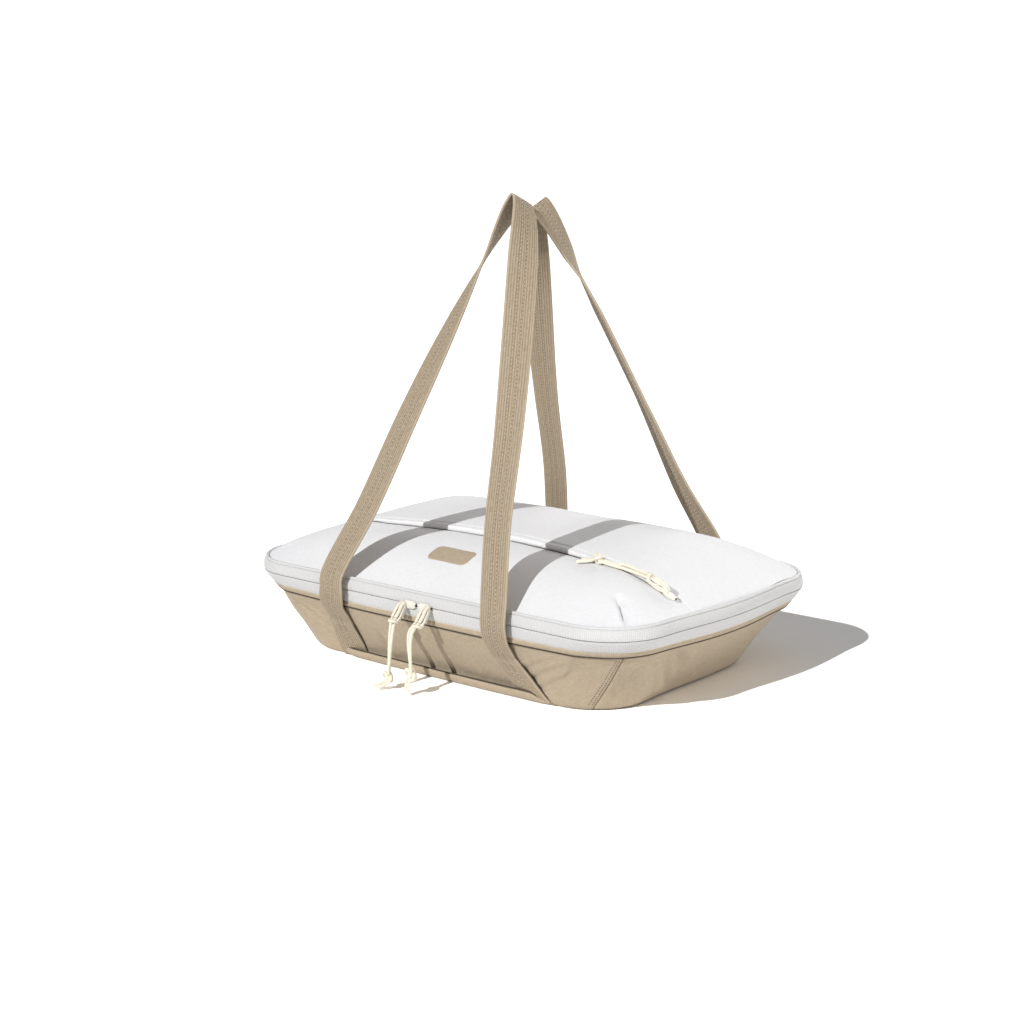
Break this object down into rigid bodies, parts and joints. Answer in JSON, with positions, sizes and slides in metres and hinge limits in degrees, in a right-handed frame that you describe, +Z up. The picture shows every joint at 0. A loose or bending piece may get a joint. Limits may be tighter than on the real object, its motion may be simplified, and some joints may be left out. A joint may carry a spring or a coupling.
{
  "type": "casserole carrier",
  "caption": "Insulated soft carrier for a covered baking dish: a tapered fabric tub, a zipped domed lid with an outer pocket, and webbing carrying loops",
  "frame": {"origin": "on the table under the middle of the base panel", "axes": "+Z up, +X along the carrier's length with the pocket slider at +X, -Y towards the side where the zip pulls hang, +Y towards the hinge side"},
  "size_m": [0.4296, 0.3266, 0.3914],
  "materials": {
    "canvas_taupe": "plain woven canvas, warm taupe",
    "webbing": "ribbed flat webbing, taupe with pale stitching",
    "canvas_white": "fine plain weave, off-white",
    "zip_tape": "herringbone tape, off-white",
    "zip_coil": "satin nylon",
    "foil_lining": "silvery wipe-clean film on cloth",
    "foam": "soft closed-cell wadding",
    "board": "plain stiffener sheet",
    "enamel": "cream enamel, satin",
    "cotton_cord": "braided cotton, cream"
  },
  "bodies": {
    "base": {"base_panel": "canvas_taupe", "base_board": "board", "base_insulation": "foam", "front_wall": "canvas_taupe", "right_wall": "canvas_taupe", "back_wall": "canvas_taupe", "left_wall": "canvas_taupe", "wall_insulation": "foam", "tub_lining": "foil_lining", "rim_binding": "canvas_taupe", "lower_zip_tape": "zip_tape", "lower_zip_coil": "zip_coil", "right_zip_end_stop": "enamel", "left_zip_end_stop": "enamel", "hinge_strip_lower": "zip_tape", "front_left_strap_end": "webbing", "front_right_strap_end": "webbing", "back_left_strap_end": "webbing", "back_right_strap_end": "webbing", "front_base_strip": "canvas_taupe", "back_base_strip": "canvas_taupe"},
    "lid": {"upper_zip_tape": "zip_tape", "upper_zip_coil": "zip_coil", "hinge_strip_upper": "zip_tape", "lid_piping": "canvas_white", "lid_pocket_panel": "canvas_white", "lid_back_panel": "canvas_white", "pocket_welt": "canvas_white", "pocket_zip_tape": "zip_tape", "pocket_zip_coil": "zip_coil", "pocket_lining": "canvas_white", "lid_insulation": "foam", "lid_lining": "foil_lining", "lid_patch": "webbing"},
    "front_handle": {"front_handle_strap": "webbing"},
    "back_handle": {"back_handle_strap": "webbing"},
    "left_slider": {"left_zip_slider": "enamel"},
    "right_slider": {"right_zip_slider": "enamel"},
    "left_pull": {"left_pull_ring": "enamel", "left_pull_cord": "cotton_cord"},
    "right_pull": {"right_pull_ring": "enamel", "right_pull_cord": "cotton_cord"},
    "pocket_slider": {"pocket_zip_slider": "enamel"},
    "pocket_pull": {"pocket_pull_ring": "enamel", "pocket_pull_cord": "cotton_cord"}
  },
  "joints": [
    {"name": "lid_hinge", "type": "hinge", "parent": "base", "child": "lid", "pos_m": [0, 0.1429, 0.0668], "axis": [-1, 0, 0], "range_deg": [0, 90]},
    {"name": "front_handle_fold", "type": "hinge", "parent": "base", "child": "front_handle", "pos_m": [0, -0.136, 0.0389], "axis": [1, 0, 0], "range_deg": [0, 112.5]},
    {"name": "back_handle_fold", "type": "hinge", "parent": "base", "child": "back_handle", "pos_m": [0, 0.136, 0.0389], "axis": [-1, 0, 0], "range_deg": [0, 112.5]},
    {"name": "left_slider_slide", "type": "slide", "parent": "base", "child": "left_slider", "axis": [-1, 0, 0], "range_m": [0, 0.05]},
    {"name": "right_slider_slide", "type": "slide", "parent": "base", "child": "right_slider", "axis": [1, 0, 0], "range_m": [0, 0.045]},
    {"name": "left_pull_swing", "type": "hinge", "parent": "left_slider", "child": "left_pull", "pos_m": [-0.0074, -0.14525, 0.0668], "axis": [-1, 0, 0], "range_deg": [0, 110]},
    {"name": "right_pull_swing", "type": "hinge", "parent": "right_slider", "child": "right_pull", "pos_m": [0.0164, -0.14525, 0.0668], "axis": [-1, 0, 0], "range_deg": [0, 110]},
    {"name": "pocket_slider_slide", "type": "slide", "parent": "lid", "child": "pocket_slider", "axis": [-0.921, 0, 0.3896], "range_m": [0, 0.03]},
    {"name": "pocket_pull_swing", "type": "hinge", "parent": "pocket_slider", "child": "pocket_pull", "pos_m": [0.1857, -0.0575, 0.09298], "axis": [0, 1, 0], "range_deg": [0, 150]}
  ],
  "couplings": [
    {"joint": "front_handle_fold", "follows": "lid_hinge", "ratio": 1.25},
    {"joint": "back_handle_fold", "follows": "lid_hinge", "ratio": 1.25}
  ]
}
